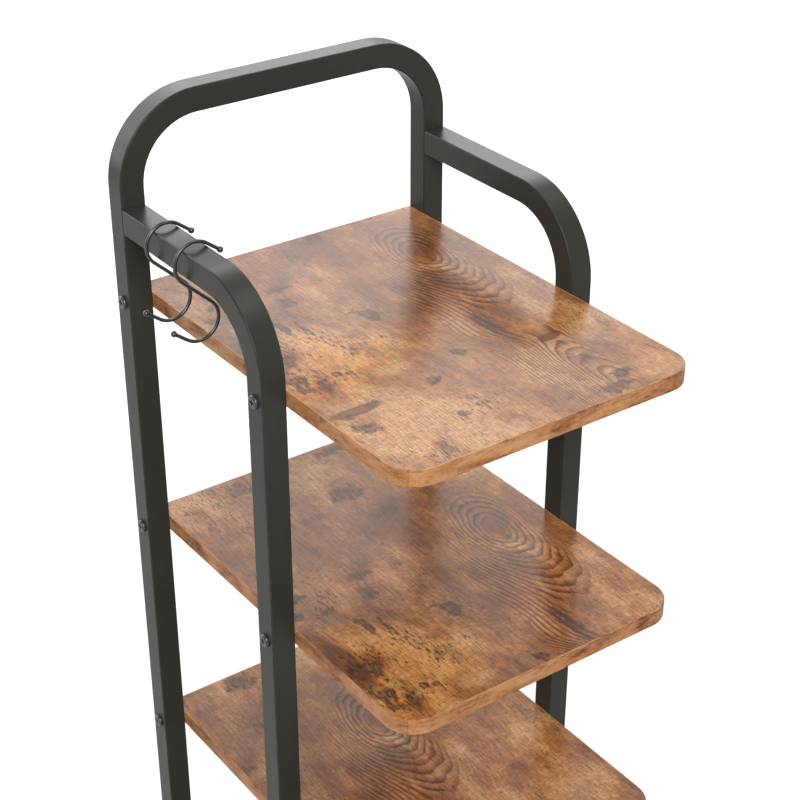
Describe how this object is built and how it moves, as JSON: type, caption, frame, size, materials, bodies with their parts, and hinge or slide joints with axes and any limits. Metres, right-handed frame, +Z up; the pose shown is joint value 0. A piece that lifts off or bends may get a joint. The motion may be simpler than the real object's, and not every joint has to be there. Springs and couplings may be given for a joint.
{
  "type": "shoe rack",
  "caption": "Tall narrow open shoe rack: square-tube frame with a bent hoop and side arms, wood-print boards that overhang at the front, and S-hooks on one arm.",
  "frame": {"origin": "on the floor, at the bottom centre of the overall box: halfway along the depth of the boards, and 5.3 mm left of the rack's own middle, because the S-hooks stand out on the left", "axes": "+Z up, -Y towards the front where the boards overhang, +X to the right as seen from the front"},
  "size_m": [0.3138, 0.35, 1.475],
  "materials": {
    "frame_powder_coat": "satin charcoal powder coat",
    "sleeve_steel": "plain mill steel",
    "plug_plastic": "black moulded plastic",
    "stud_zinc": "zinc plated",
    "foot_plastic": "black moulded plastic",
    "board_rustic_brown": "satin rustic brown wood print",
    "edge_band_brown": "satin rustic brown edge banding",
    "screw_black": "black oxide",
    "insert_zinc": "zinc plated",
    "hook_black": "satin black"
  },
  "bodies": {
    "rack": {"rear_hoop": "frame_powder_coat", "side_arm_left": "frame_powder_coat", "side_arm_right": "frame_powder_coat", "lower_post_rear_left": "frame_powder_coat", "lower_post_rear_right": "frame_powder_coat", "lower_post_front_left": "frame_powder_coat", "lower_post_front_right": "frame_powder_coat", "joint_sleeve_rear_left": "sleeve_steel", "joint_sleeve_rear_right": "sleeve_steel", "joint_sleeve_front_left": "sleeve_steel", "joint_sleeve_front_right": "sleeve_steel", "post_plug_rear_left": "plug_plastic", "post_plug_rear_right": "plug_plastic", "post_plug_front_left": "plug_plastic", "post_plug_front_right": "plug_plastic", "shelf_1_board": "board_rustic_brown", "shelf_1_edge_band": "edge_band_brown", "shelf_1_screws": "screw_black", "shelf_1_inserts": "insert_zinc", "shelf_2_board": "board_rustic_brown", "shelf_2_edge_band": "edge_band_brown", "shelf_2_screws": "screw_black", "shelf_2_inserts": "insert_zinc", "shelf_3_board": "board_rustic_brown", "shelf_3_edge_band": "edge_band_brown", "shelf_3_screws": "screw_black", "shelf_3_inserts": "insert_zinc", "shelf_4_board": "board_rustic_brown", "shelf_4_edge_band": "edge_band_brown", "shelf_4_screws": "screw_black", "shelf_4_inserts": "insert_zinc", "shelf_5_board": "board_rustic_brown", "shelf_5_edge_band": "edge_band_brown", "shelf_5_screws": "screw_black", "shelf_5_inserts": "insert_zinc", "shelf_6_board": "board_rustic_brown", "shelf_6_edge_band": "edge_band_brown", "shelf_6_screws": "screw_black", "shelf_6_inserts": "insert_zinc", "shelf_7_board": "board_rustic_brown", "shelf_7_edge_band": "edge_band_brown", "shelf_7_screws": "screw_black", "shelf_7_inserts": "insert_zinc"},
    "hook_rear": {"s_hook_rear": "hook_black"},
    "hook_front": {"s_hook_front": "hook_black"},
    "foot_rear_left": {"foot_stud_rear_left": "stud_zinc", "foot_pad_rear_left": "foot_plastic"},
    "foot_rear_right": {"foot_stud_rear_right": "stud_zinc", "foot_pad_rear_right": "foot_plastic"},
    "foot_front_left": {"foot_stud_front_left": "stud_zinc", "foot_pad_front_left": "foot_plastic"},
    "foot_front_right": {"foot_stud_front_right": "stud_zinc", "foot_pad_front_right": "foot_plastic"}
  },
  "joints": [
    {"name": "hook_rear_slide", "type": "slide", "parent": "rack", "child": "hook_rear", "axis": [0, -1, 0], "range_m": [-0.046, 0.035]},
    {"name": "hook_front_slide", "type": "slide", "parent": "rack", "child": "hook_front", "axis": [0, -1, 0], "range_m": [-0.035, 0.032]},
    {"name": "foot_rear_left_height", "type": "slide", "parent": "rack", "child": "foot_rear_left", "axis": [0, 0, -1], "range_m": [0, 0.012]},
    {"name": "foot_rear_right_height", "type": "slide", "parent": "rack", "child": "foot_rear_right", "axis": [0, 0, -1], "range_m": [0, 0.012]},
    {"name": "foot_front_left_height", "type": "slide", "parent": "rack", "child": "foot_front_left", "axis": [0, 0, -1], "range_m": [0, 0.012]},
    {"name": "foot_front_right_height", "type": "slide", "parent": "rack", "child": "foot_front_right", "axis": [0, 0, -1], "range_m": [0, 0.012]}
  ]
}
